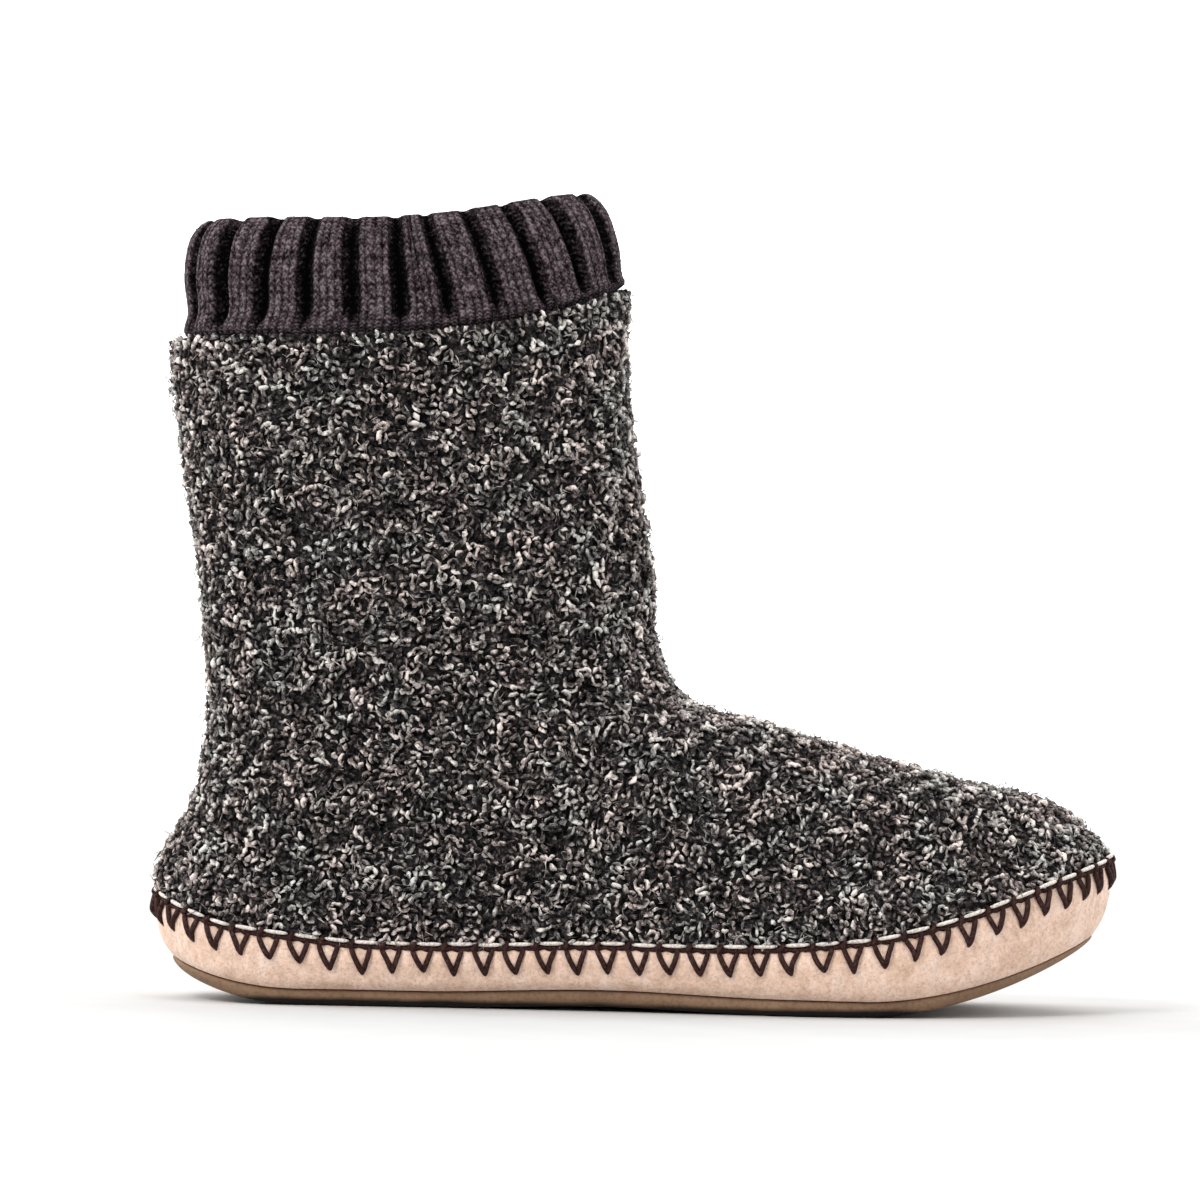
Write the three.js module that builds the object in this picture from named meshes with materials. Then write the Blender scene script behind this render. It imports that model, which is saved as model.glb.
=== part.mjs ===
// A knitted slipper boot: curly knit upper, ribbed cuff, suede wrap, insole and a thin rubber sole.
// Millimetres. X runs from heel to toe, Y to the wearer's left and Z up from the floor.
// It is the right boot, so its outer side faces -Y and its toe swings a little to +Y.

import * as THREE from 'three';

// Sole and foot sizes
const bootLength = 269;
const heelWidth = 72;
const ballWidth = 98;
const heelSpring = 12.5;
const archRise = 1.3;
const toeSpring = 23.5;
const soleThickness = 4.4;
const bandHeight = 16.4;
const bandTuck = 4.8;
const instepHeight = 85;
const ankleWidth = 76;

// Shaft and cuff sizes
const upperHeight = 185;
const edgeRise = 16;
const shaftSetback = 3;
const shaftDepth = 127;
const shaftWidth = 86;
const cuffHeight = 34;
const cuffLap = 9;
const ribCount = 24;
const ribDepth = 2.2;

// Walls and fits
const suedeThickness = 1.8;
const knitWall = 3.2;
const cuffWall = 3.8;
const insoleThickness = 4;
const clearance = 0.3;
const cuffClearance = 0.45;
const insoleClearance = 0.7;

// Stations round every ring, first at the heel, then the outer side, the toe and the inner side
const stations = 56;
const stationsPerRib = 5;

// Where the sole lies flat on the floor, as shares of the boot's length
const heelFlat = { from: 0.17, to: 0.28 };
const ballFlat = { from: 0.655, to: 0.735 };
const heelCurve = 2.3;
const toeCurve = 1.8;

// The sole's outline. The centre line's swing is a share of half the ball's width, and the two
// half widths are shares of half the local width. At both ends, where the outline closes, the
// half widths hold its roundness instead.
const outline = [
  { along: 0.0, swing: 0.0, outer: 1.88, inner: 1.88 },
  { along: 0.1, swing: 0.0, outer: 0.94, inner: 0.93 },
  { along: 0.2, swing: 0.0, outer: 1.0, inner: 0.99 },
  { along: 0.32, swing: -0.01, outer: 0.96, inner: 0.88 },
  { along: 0.45, swing: -0.02, outer: 0.92, inner: 0.79 },
  { along: 0.58, swing: -0.02, outer: 0.93, inner: 0.87 },
  { along: 0.7, swing: 0.0, outer: 1.0, inner: 1.0 },
  { along: 0.8, swing: 0.03, outer: 0.95, inner: 0.98 },
  { along: 0.9, swing: 0.07, outer: 0.76, inner: 0.79 },
  { along: 1.0, swing: 0.12, outer: 1.4, inner: 1.4 },
];

// How high the wrap's top edge stands over the sole, as a share of the band's height
const band = [
  { along: 0.0, high: 1.03 },
  { along: 0.07, high: 1.1 },
  { along: 0.135, high: 1.14 },
  { along: 0.22, high: 1.02 },
  { along: 0.5, high: 1.01 },
  { along: 0.66, high: 1.12 },
  { along: 0.8, high: 1.34 },
  { along: 0.92, high: 1.4 },
  { along: 1.0, high: 1.2 },
];

// How far the wrap's side is tucked in, as a share of the tuck: it is fullest a little below its top
const tuck = [
  { up: 0.0, inward: 1.0 },
  { up: 0.1, inward: 0.64 },
  { up: 0.25, inward: 0.36 },
  { up: 0.5, inward: 0.11 },
  { up: 0.75, inward: 0.0 },
  { up: 1.0, inward: 0.13 },
];

// The outsole's thickness along the boot: it thins out where it turns up at heel and toe
const thinning = [
  { along: 0.0, thick: 0.55 },
  { along: 0.12, thick: 0.95 },
  { along: 0.3, thick: 1.0 },
  { along: 0.7, thick: 1.0 },
  { along: 0.85, thick: 0.75 },
  { along: 1.0, thick: 0.3 },
];

// Level slices of the foot above the seam. Back and front say where a slice meets the heel and the
// vamp, as shares of the boot's length, and their heights are shares of the instep's height. Wide
// is a share of the ankle's width, widest the place of that width, full the squareness in plan,
// sole the share of the sole's outline that is left, and seam the share of the seam's sweep.
const footSlices = [
  { back: 0.001, backUp: 0.4, front: 0.99, frontUp: 0.555, wide: 1.06, widest: 0.4, full: 2.4, sole: 0.99, seam: 0.97 },
  { back: 0.007, backUp: 0.48, front: 0.972, frontUp: 0.617, wide: 1.03, widest: 0.4, full: 2.4, sole: 0.68, seam: 0.8 },
  { back: 0.019, backUp: 0.557, front: 0.949, frontUp: 0.673, wide: 1.0, widest: 0.38, full: 2.4, sole: 0.37, seam: 0.55 },
  { back: 0.033, backUp: 0.632, front: 0.908, frontUp: 0.721, wide: 1.0, widest: 0.36, full: 2.4, sole: 0.22, seam: 0.32 },
  { back: 0.041, backUp: 0.703, front: 0.838, frontUp: 0.765, wide: 1.0, widest: 0.36, full: 2.4, sole: 0.09, seam: 0.16 },
  { back: 0.046, backUp: 0.775, front: 0.757, frontUp: 0.83, wide: 0.99, widest: 0.37, full: 2.35, sole: 0.02, seam: 0.06 },
  { back: 0.049, backUp: 0.846, front: 0.686, frontUp: 0.893, wide: 0.99, widest: 0.4, full: 2.3, sole: 0.0, seam: 0.0 },
  { back: 0.051, backUp: 0.917, front: 0.623, frontUp: 0.95, wide: 0.99, widest: 0.43, full: 2.25, sole: 0.0, seam: 0.0 },
  { back: 0.052, backUp: 0.988, front: 0.566, frontUp: 1.003, wide: 1.0, widest: 0.46, full: 2.2, sole: 0.0, seam: 0.0 },
];

// Slices of the shaft. Up is a share of the way from instep to top edge, back and front are shares
// of the shaft's depth, wide is a share of its width, and rise a share of the top edge's rise to
// the front, which comes the later the higher its power is.
const shaftSlices = [
  { up: 0.065, back: 0.083, front: 1.11, wide: 0.905, rise: 0.06, late: 1.0 },
  { up: 0.17, back: 0.075, front: 1.072, wide: 0.925, rise: 0.12, late: 1.0 },
  { up: 0.35, back: 0.066, front: 1.058, wide: 0.95, rise: 0.12, late: 1.0 },
  { up: 0.55, back: 0.04, front: 1.035, wide: 0.975, rise: 0.12, late: 1.5 },
  { up: 0.75, back: 0.015, front: 1.014, wide: 0.99, rise: 0.25, late: 2.0 },
  { up: 0.91, back: -0.004, front: 1.001, wide: 1.0, rise: 0.55, late: 3.0 },
  { up: 1.0, back: 0.0, front: 1.004, wide: 1.0, rise: 1.0, late: 4.0 },
];

// Slices of the cuff. Up is a share of its height, the rest as for the shaft.
const cuffSlices = [
  { up: 0.2, back: 0.02, front: 0.99, wide: 0.965, rise: 0.85, late: 3.6 },
  { up: 0.5, back: 0.012, front: 0.981, wide: 0.965, rise: 0.7, late: 3.2 },
  { up: 0.8, back: 0.022, front: 0.955, wide: 0.95, rise: 0.66, late: 2.6 },
  { up: 1.0, back: 0.052, front: 0.918, wide: 0.915, rise: 0.64, late: 2.2 },
];

const shaftFull = 2.15;
const shaftWidest = 0.5;

// A smooth curve through one column of a table
function curve(rows, at, column) {
  const slope = (i) => {
    const before = rows[Math.max(i - 1, 0)];
    const after = rows[Math.min(i + 1, rows.length - 1)];
    return (after[column] - before[column]) / (after[at] - before[at]);
  };
  return (place) => {
    let i = rows.findIndex((row) => row[at] > place) - 1;
    if (i < 0) i = place < rows[0][at] ? 0 : rows.length - 2;
    const step = rows[i + 1][at] - rows[i][at];
    const t = THREE.MathUtils.clamp((place - rows[i][at]) / step, 0, 1);
    const a = (1 + 2 * t) * (1 - t) * (1 - t) * rows[i][column];
    const b = t * (1 - t) * (1 - t) * step * slope(i);
    const c = t * t * (3 - 2 * t) * rows[i + 1][column];
    const d = t * t * (t - 1) * step * slope(i + 1);
    return a + b + c + d;
  };
}

const ease = (from, to, value) => THREE.MathUtils.smoothstep(value, from, to);
const { lerp } = THREE.MathUtils;

// Height of the sole's underside: flat under heel and ball, with a low arch between them
function soleRise(along) {
  if (along < heelFlat.from) return heelSpring * ((heelFlat.from - along) / heelFlat.from) ** heelCurve;
  if (along > ballFlat.to) return toeSpring * ((along - ballFlat.to) / (1 - ballFlat.to)) ** toeCurve;
  if (along < heelFlat.to || along > ballFlat.from) return 0;
  const arch = (along - heelFlat.to) / (ballFlat.from - heelFlat.to);
  return archRise * Math.sin(Math.PI * arch) ** 2;
}

const soleShare = curve(thinning, 'along', 'thick');
const bandShare = curve(band, 'along', 'high');
const soleTop = (along) => soleRise(along) + soleThickness * soleShare(along);
const trayBottom = (along) => soleTop(along) + clearance;
const trayFloor = (along) => trayBottom(along) + suedeThickness;
const seamHeight = (along) => soleRise(along) + bandHeight * bandShare(along);
const alongBoot = (x) => THREE.MathUtils.clamp(x / bootLength, 0, 1);

// The sole's outline, read by the angle of a half turn from heel to toe, so that its ends are round
const angleOf = (along) => Math.acos(1 - 2 * along);
const localWidth = (along) => lerp(heelWidth, ballWidth, ease(0.2, 0.68, along));
const swing = curve(outline, 'along', 'swing');
const roundness = outline.map(({ along, outer, inner }) => {
  const closed = along === 0 || along === 1;
  const scale = (closed ? 1 : 1 / Math.sin(angleOf(along))) * localWidth(along) / 2;
  return { angle: angleOf(along), outer: outer * scale, inner: inner * scale };
});
const outerRound = curve(roundness, 'angle', 'outer');
const innerRound = curve(roundness, 'angle', 'inner');
const centreLine = (x) => swing(alongBoot(x)) * ballWidth / 2;

// Every slice in millimetres, from the seam to the cuff's top, one level apart
const levels = [
  {
    level: 0, back: 0, backZ: seamHeight(0), front: bootLength, frontZ: seamHeight(1),
    half: ankleWidth / 2, widest: 0.4, full: 2.4, sole: 1, seam: 1, late: 1,
  },
];
for (const row of footSlices) {
  levels.push({
    level: levels.length,
    back: row.back * bootLength,
    backZ: row.backUp * instepHeight,
    front: row.front * bootLength,
    frontZ: row.frontUp * instepHeight,
    half: row.wide * ankleWidth / 2,
    widest: row.widest,
    full: row.full,
    sole: row.sole,
    seam: row.seam,
    late: 1,
  });
}
function addShaftLevel(row, backZ) {
  levels.push({
    level: levels.length,
    back: shaftSetback + row.back * shaftDepth,
    backZ,
    front: shaftSetback + row.front * shaftDepth,
    frontZ: backZ + row.rise * edgeRise,
    half: row.wide * shaftWidth / 2,
    widest: shaftWidest,
    full: shaftFull,
    sole: 0,
    seam: 0,
    late: row.late,
  });
}
for (const row of shaftSlices) addShaftLevel(row, lerp(instepHeight, upperHeight, row.up));
const topEdge = levels.length - 1;
for (const row of cuffSlices) addShaftLevel(row, upperHeight + row.up * cuffHeight);
const cuffTop = levels.length - 1;

const slice = {};
for (const column of Object.keys(levels[0])) slice[column] = curve(levels, 'level', column);

// A point of the boot's outer form at a level and at an angle round the boot
function aboveSeam(level, angle) {
  const share = (1 - Math.cos(angle)) / 2;
  const back = slice.back(level);
  const front = slice.front(level);
  const x = lerp(back, front, share);
  const widest = slice.widest(level);
  const reach = share > widest ? (share - widest) / (1 - widest) : (widest - share) / widest;
  const full = slice.full(level);
  const oval = slice.half(level) * Math.max(0, 1 - reach ** full) ** (1 / full);
  const half = Math.acos(Math.cos(angle));
  const round = Math.sin(angle) > 0 ? outerRound(half) : innerRound(half);
  const foot = round * Math.abs(Math.sin(angle));
  const width = lerp(oval, foot, slice.sole(level));
  const plane = lerp(slice.backZ(level), slice.frontZ(level), share ** slice.late(level));
  const sweep = seamHeight(share) - lerp(seamHeight(0), seamHeight(1), share);
  return new THREE.Vector3(x, centreLine(x) - Math.sign(Math.sin(angle)) * width, plane + slice.seam(level) * sweep);
}

// The flat direction straight out of a ring
function outOf(ring) {
  return ring.map((point, i) => {
    const next = ring[(i + 1) % ring.length];
    const last = ring[(i + ring.length - 1) % ring.length];
    return new THREE.Vector3(next.y - last.y, last.x - next.x, 0).normalize();
  });
}

const angles = Array.from({ length: stations }, (_, i) => (2 * Math.PI * i) / stations);
const seamRing = angles.map((angle) => aboveSeam(0, angle));
const seamOut = outOf(seamRing);
const tuckShare = curve(tuck, 'up', 'inward');

// A ring of the wrap's side, moved out by `offset`, where `height` gives each point's own height
function sideRing(offset, height) {
  return seamRing.map((point, i) => {
    const place = point.clone().addScaledVector(seamOut[i], offset);
    const along = alongBoot(place.x);
    const z = height(along);
    const up = (z - trayBottom(along)) / (seamHeight(along) - trayBottom(along));
    const inward = bandTuck * tuckShare(THREE.MathUtils.clamp(up, 0, 1));
    place.addScaledVector(seamOut[i], -inward);
    place.z = height(alongBoot(place.x));
    return place;
  });
}

// A point above the seam, moved out square to the surface
function skin(level, angle, offset) {
  const turn = 0.02;
  const rise = 0.04;
  const low = Math.max(0, level - rise);
  const high = Math.min(cuffTop, level + rise);
  const round = aboveSeam(level, angle + turn).sub(aboveSeam(level, angle - turn));
  const upward = aboveSeam(high, angle).sub(aboveSeam(low, angle));
  const square = round.clone().cross(upward).normalize();
  const flat = new THREE.Vector3(round.y, -round.x, 0).normalize();
  const out = flat.lerp(square, ease(0, 1, level)).normalize();
  return aboveSeam(level, angle).addScaledVector(out, offset);
}
const skinRing = (level, offset) => angles.map((angle) => skin(level, angle, offset));

// Triangles between two neighbouring rings
function strip(faces, low, high, count) {
  for (let i = 0; i < count; i += 1) {
    const next = (i + 1) % count;
    faces.push(low + i, low + next, high + next, low + i, high + next, high + i);
  }
}

// Rungs across a ring from its outer to its inner side, which close it
function rungs(faces, first, count, up) {
  for (let i = 0; i < count / 2; i += 1) {
    const a = first + i;
    const b = first + i + 1;
    const c = first + ((count - i - 1) % count);
    const d = first + ((count - i) % count);
    if (b !== c) faces.push(...(up ? [a, b, c] : [a, c, b]));
    if (a !== d) faces.push(...(up ? [a, c, d] : [a, d, c]));
  }
}

// One closed solid from rings that run up its outside and down its inside. A wall goes on from the
// last ring to the first, and a slab is closed by rungs at both ends.
function solid(name, rings, kind, material) {
  const count = rings[0].length;
  const faces = [];
  for (let i = 0; i < rings.length - 1; i += 1) strip(faces, i * count, (i + 1) * count, count);
  if (kind === 'wall') strip(faces, (rings.length - 1) * count, 0, count);
  if (kind === 'slab') {
    rungs(faces, 0, count, false);
    rungs(faces, (rings.length - 1) * count, count, true);
  }
  const geometry = new THREE.BufferGeometry();
  const places = rings.flat().flatMap((point) => [point.x, point.y, point.z]);
  geometry.setAttribute('position', new THREE.Float32BufferAttribute(places, 3));
  geometry.setIndex(faces);
  geometry.computeVertexNormals();
  const mesh = new THREE.Mesh(geometry, new THREE.MeshStandardMaterial(material));
  mesh.name = name;
  return mesh;
}

// The rubber sole: rounded at its lower edge and set in a little from the suede above it
function makeOutsole() {
  const edge = -bandTuck * 0.1;
  const lowerRound = soleThickness * 0.265;
  const rings = [
    sideRing(edge - lowerRound, soleRise),
    sideRing(edge - lowerRound * 0.3, (along) => lerp(soleRise(along), soleTop(along), 0.25)),
    sideRing(edge, (along) => lerp(soleRise(along), soleTop(along), 0.6)),
    sideRing(edge, soleTop),
  ];
  return solid('outsole', rings, 'slab', { color: 0xa07d5f, roughness: 0.8, metalness: 0 });
}

// The suede wrap: a tray on the sole, with its wall turned up to the seam
function makeWrap() {
  const ups = [0, 0.1, 0.25, 0.5, 0.75, 1];
  const at = (up) => (along) => lerp(trayBottom(along), seamHeight(along), up);
  const inner = -suedeThickness;
  const rings = ups.map((up) => sideRing(0, at(up)));
  for (const up of [1, 0.75, 0.5, 0.3]) rings.push(sideRing(inner, at(up)));
  rings.push(sideRing(inner, trayFloor));
  return solid('suede_wrap', rings, 'slab', { color: 0xe1c3af, roughness: 0.95, metalness: 0 });
}

// The knit: pinched thin inside the suede's wall, full above the seam, open under the foot and at
// the collar
function makeUpper() {
  const pinch = suedeThickness + clearance;
  const foot = (along) => trayFloor(along) + clearance;
  const between = (up) => (along) => lerp(foot(along), seamHeight(along), up);
  const seamLean = (level) => -bandTuck * tuckShare(1) * (1 - ease(0.05, 0.6, level));
  const swell = (level) => seamLean(level) - pinch * (1 - ease(0.05, 0.6, level));
  const outerLevels = [0.08, 0.3, 0.6, 1, 1.5, 2, 2.5, 3, 3.5, 4, 4.5, 5, 5.5, 6, 6.5, 7, 7.5, 8, 8.5];
  outerLevels.push(9, 9.5, 10, 10.5, 11, 12, 13, 14, 15, topEdge);
  const innerLevels = [topEdge, 15, 13, 12, 11, 10.5, 10, 9, 8, 7, 6, 5, 4, 3, 2, 1.3, 0.6, 0.08];
  const rings = [];
  for (const up of [0, 0.15, 0.39, 0.7, 1]) rings.push(sideRing(-pinch, between(up)));
  for (const level of outerLevels) rings.push(skinRing(level, swell(level)));
  for (const level of innerLevels) rings.push(skinRing(level, seamLean(level) - knitWall));
  for (const up of [0.7, 0.39, 0.15, 0]) rings.push(sideRing(-knitWall, between(up)));
  return solid('upper', rings, 'wall', { color: 0x3d3a39, roughness: 1, metalness: 0 });
}

// The insole: a soft board on the suede tray, inside the knit
function makeInsole() {
  const edge = -knitWall - insoleClearance;
  const underside = (along) => trayFloor(along) + clearance;
  const top = (along) => underside(along) + insoleThickness;
  const rounded = insoleThickness * 0.3;
  const shoulder = (along) => top(along) - rounded;
  const rings = [sideRing(edge, underside), sideRing(edge, shoulder), sideRing(edge - rounded, top)];
  return solid('insole', rings, 'slab', { color: 0xb9b2a8, roughness: 0.95, metalness: 0 });
}

// Angles that divide a ring of the cuff into equal lengths, so that its ribs are all as wide
function evenAngles(level, count) {
  const fine = 720;
  const lengths = [0];
  for (let i = 1; i <= fine; i += 1) {
    const from = aboveSeam(level, (2 * Math.PI * (i - 1)) / fine);
    const to = aboveSeam(level, (2 * Math.PI * i) / fine);
    lengths.push(lengths[i - 1] + from.distanceTo(to));
  }
  return Array.from({ length: count }, (_, k) => {
    const wanted = (lengths[fine] * k) / count;
    const i = Math.max(1, lengths.findIndex((length) => length >= wanted));
    const part = (wanted - lengths[i - 1]) / (lengths[i] - lengths[i - 1]);
    return (2 * Math.PI * (i - 1 + part)) / fine;
  });
}

// The ribbed cuff: tucked inside the upper's top edge, swelling above it, rolled over at its rim
function makeCuff() {
  const turns = evenAngles(topEdge + 2, ribCount * stationsPerRib);
  const groove = turns.map((_, k) => Math.cos((Math.PI * k) / stationsPerRib) ** 4);
  const inside = -knitWall - cuffClearance;
  const levelHeight = slice.backZ(topEdge) - slice.backZ(topEdge - 1);
  const lapFoot = topEdge - cuffLap / levelHeight;
  const ring = (level, offset, ribbed) => turns.map((angle, k) => {
    return skin(level, angle, offset - ribDepth * ribbed * groove[k]);
  });
  const rim = cuffTop - 0.02;
  const profile = [
    { level: lapFoot, offset: inside, ribbed: 0 },
    { level: topEdge, offset: inside, ribbed: 0 },
    { level: topEdge + 0.14, offset: inside + 0.35, ribbed: 0.2 },
    { level: topEdge + 0.5, offset: -0.6, ribbed: 0.8 },
    { level: topEdge + 1, offset: 0, ribbed: 1 },
    { level: topEdge + 2, offset: 0, ribbed: 1 },
    { level: topEdge + 3, offset: 0, ribbed: 1 },
    { level: topEdge + 3.6, offset: -0.3, ribbed: 0.9 },
    { level: rim, offset: -cuffWall * 0.45, ribbed: 0.5 },
    { level: rim, offset: -cuffWall * 0.8, ribbed: 0.1 },
    { level: topEdge + 3.4, offset: -cuffWall - ribDepth * 0.6, ribbed: 0 },
    { level: topEdge + 2, offset: -cuffWall - ribDepth * 0.6, ribbed: 0 },
    { level: topEdge + 0.6, offset: -cuffWall - ribDepth, ribbed: 0 },
    { level: topEdge, offset: inside - cuffWall, ribbed: 0 },
    { level: lapFoot, offset: inside - cuffWall, ribbed: 0 },
  ];
  const rings = profile.map((row) => ring(row.level, row.offset, row.ribbed));
  return solid('cuff', rings, 'wall', { color: 0x453a3d, roughness: 0.95, metalness: 0 });
}

// The boot stands on the floor with the middle of its box over the origin
const group = new THREE.Group();
group.add(makeOutsole(), makeWrap(), makeInsole(), makeUpper(), makeCuff());
const box = new THREE.Box3().setFromObject(group);
const middle = box.getCenter(new THREE.Vector3());
group.position.set(-middle.x, -middle.y, -box.min.z);

export default group;
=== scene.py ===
import math
import bpy
import numpy as np
from mathutils import Euler, Matrix, Vector, kdtree, noise


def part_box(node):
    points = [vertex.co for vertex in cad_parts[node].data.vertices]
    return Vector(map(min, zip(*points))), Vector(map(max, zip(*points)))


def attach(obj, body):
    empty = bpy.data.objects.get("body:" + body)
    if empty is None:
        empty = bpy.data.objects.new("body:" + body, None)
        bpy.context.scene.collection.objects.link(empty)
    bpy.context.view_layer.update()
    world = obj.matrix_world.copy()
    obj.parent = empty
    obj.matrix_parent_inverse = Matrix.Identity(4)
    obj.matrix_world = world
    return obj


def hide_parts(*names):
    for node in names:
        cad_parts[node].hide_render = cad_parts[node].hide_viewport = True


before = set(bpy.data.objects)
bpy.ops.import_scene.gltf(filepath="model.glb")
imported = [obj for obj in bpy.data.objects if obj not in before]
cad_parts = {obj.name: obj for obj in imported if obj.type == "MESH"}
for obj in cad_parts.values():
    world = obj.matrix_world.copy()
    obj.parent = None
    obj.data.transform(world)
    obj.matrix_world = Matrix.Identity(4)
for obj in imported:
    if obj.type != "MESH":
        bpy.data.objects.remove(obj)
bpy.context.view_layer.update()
MM = 0.001

# The photographer's set: a long lens level with the middle of the boot, seen square from its
# outer side, turned very little in the picture, over a pale sweep of paper.
photo_size = 1200
mm_per_pixel = 0.28125
lens_distance = 1.7
lens_height = 0.1
roll = math.radians(1.05)
centre_pixel = (632, 1005)
frame_width = photo_size * mm_per_pixel * MM
camera = bpy.data.objects.new("camera", bpy.data.cameras.new("camera"))
bpy.context.scene.collection.objects.link(camera)
bpy.context.scene.camera = camera
film_width = 36
camera.data.sensor_width = film_width
camera.data.lens = film_width * lens_distance / frame_width
camera.data.clip_end = 20
camera.location = (0, -lens_distance, lens_height)
camera.rotation_mode = "QUATERNION"
turned = Matrix.Rotation(math.radians(90), 3, "X") @ Matrix.Rotation(roll, 3, "Z")
camera.rotation_quaternion = turned.to_quaternion()
aim_x = centre_pixel[0] + math.sin(roll) * lens_height / MM / mm_per_pixel
aim_y = centre_pixel[1] - math.cos(roll) * lens_height / MM / mm_per_pixel
camera.data.shift_x = (photo_size / 2 - aim_x) / photo_size
camera.data.shift_y = (aim_y - photo_size / 2) / photo_size
bpy.context.scene.view_settings.view_transform = "Standard"

world = bpy.data.worlds.new("studio")
bpy.context.scene.world = world
world.use_nodes = True
world.node_tree.nodes["Background"].inputs["Color"].default_value = (1, 1, 1, 1)
world.node_tree.nodes["Background"].inputs["Strength"].default_value = 0.42


def soft_light(name, place, aim, size, power):
    light = bpy.data.lights.new(name, "AREA")
    light.shape = "RECTANGLE"
    light.size, light.size_y = size
    light.energy = power
    lamp = bpy.data.objects.new(name, light)
    bpy.context.scene.collection.objects.link(lamp)
    lamp.location = place
    lamp.rotation_mode = "QUATERNION"
    lamp.rotation_quaternion = (Vector(aim) - Vector(place)).to_track_quat("-Z", "Y")


soft_light("overhead", (0.0, 0.1, 2.0), (0, 0.2, 0), (2.4, 2.2), 25)
soft_light("front_left", (-0.8, -1.3, 1.3), (0, 0, 0.1), (0.6, 0.6), 22)
soft_light("front_right", (1.0, -1.3, 0.9), (0, 0, 0.1), (0.6, 0.6), 6)
soft_light("side_left", (-1.5, 0.35, 0.8), (0, 0, 0.12), (0.8, 1.2), 17)
soft_light("side_right", (1.5, 0.35, 0.8), (0, 0, 0.12), (0.8, 1.2), 10)

sweep_half = 3.0
paper = bpy.data.meshes.new("floor")
corners = [(-sweep_half, -sweep_half, 0), (sweep_half, -sweep_half, 0)]
corners += [(sweep_half, sweep_half, 0), (-sweep_half, sweep_half, 0)]
paper.from_pydata(corners, [], [(0, 1, 2, 3)])
floor = bpy.data.objects.new("floor", paper)
bpy.context.scene.collection.objects.link(floor)

backdrop_far = 1.6
backdrop_half = 2.0
backdrop_height = 2.0
screen = bpy.data.meshes.new("backdrop")
corners = [(-backdrop_half, backdrop_far, 0), (backdrop_half, backdrop_far, 0)]
corners += [(backdrop_half, backdrop_far, backdrop_height), (-backdrop_half, backdrop_far, backdrop_height)]
screen.from_pydata(corners, [], [(0, 1, 2, 3)])
backdrop = bpy.data.objects.new("backdrop", screen)
bpy.context.scene.collection.objects.link(backdrop)


class Value:
    """A socket in a finish's node tree, for shader maths written as plain sums."""

    def __init__(self, finish, socket):
        self.finish, self.socket = finish, socket

    def maths(self, operation, *others):
        return self.finish.node("ShaderNodeMath", {"operation": operation}, dict(enumerate(others)))

    def __add__(self, other):
        return self.maths("ADD", self, other)

    def __sub__(self, other):
        return self.maths("SUBTRACT", self, other)

    def __mul__(self, other):
        return self.maths("MULTIPLY", self, other)

    def __pow__(self, other):
        return self.maths("POWER", self, other)


class Finish:
    """The finish of one material: its node tree, and the surface shader that it feeds."""

    def __init__(self, name, **constants):
        self.material = bpy.data.materials.new(name)
        self.material.use_nodes = True
        self.nodes = self.material.node_tree.nodes
        self.surface = self.nodes["Principled BSDF"]
        for socket, value in constants.items():
            self.surface.inputs[socket.replace("_", " ")].default_value = value

    def node(self, kind, settings=None, sockets=None, output=0):
        made = self.nodes.new(kind)
        for name, value in (settings or {}).items():
            if name == "stops":
                ramp = made.color_ramp.elements
                while len(ramp) < len(value):
                    ramp.new(0.5)
                for stop, (place, colour) in zip(ramp, value):
                    stop.position = place
                    stop.color = (*colour, 1)
            else:
                setattr(made, name, value)
        for name, value in (sockets or {}).items():
            self.feed(made.inputs[name], value)
        return Value(self, made.outputs[output])

    def feed(self, socket, value):
        if isinstance(value, Value):
            self.material.node_tree.links.new(value.socket, socket)
        elif socket.type == "RGBA":
            socket.default_value = (*value, 1)
        else:
            socket.default_value = value

    def set(self, name, value):
        self.feed(self.surface.inputs[name], value)

    def place(self):
        return self.node("ShaderNodeTexCoord", output="Object")

    def noise(self, scale, detail=3.0, roughness=0.5, place=None):
        sockets = {"Vector": place or self.place(), "Scale": scale, "Detail": detail, "Roughness": roughness}
        return self.node("ShaderNodeTexNoise", {}, sockets)

    def stretch(self, x, y, z):
        sockets = {0: self.place(), 1: (x, y, z)}
        return self.node("ShaderNodeVectorMath", {"operation": "MULTIPLY"}, sockets)

    def ramp(self, amount, *stops):
        return self.node("ShaderNodeValToRGB", {"stops": stops}, {"Fac": amount})

    def mix(self, share, first, second, blend="MIX"):
        settings = {"data_type": "RGBA", "blend_type": blend}
        return self.node("ShaderNodeMix", settings, {0: share, 6: first, 7: second}, output=2)

    def relief(self, height, strength, distance):
        sockets = {"Height": height, "Strength": strength, "Distance": distance}
        self.set("Normal", self.node("ShaderNodeBump", {}, sockets))


paper_finish = Finish("pale_paper", Roughness=0.9, Specular_IOR_Level=0.1)
paper_grain = paper_finish.noise(40)
paper_colour = paper_finish.ramp(paper_grain, (0.3, (0.57, 0.57, 0.565)), (0.7, (0.59, 0.59, 0.585)))
paper_finish.set("Base Color", paper_colour)
floor.data.materials.append(paper_finish.material)
lit_paper = Finish("lit_backdrop", Roughness=0.9, Emission_Strength=1.0)
lit_colour = lit_paper.ramp(lit_paper.noise(2), (0.3, (1, 1, 1)), (0.7, (0.99, 0.99, 0.99)))
lit_paper.set("Emission Color", lit_colour)
backdrop.data.materials.append(lit_paper.material)

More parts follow.
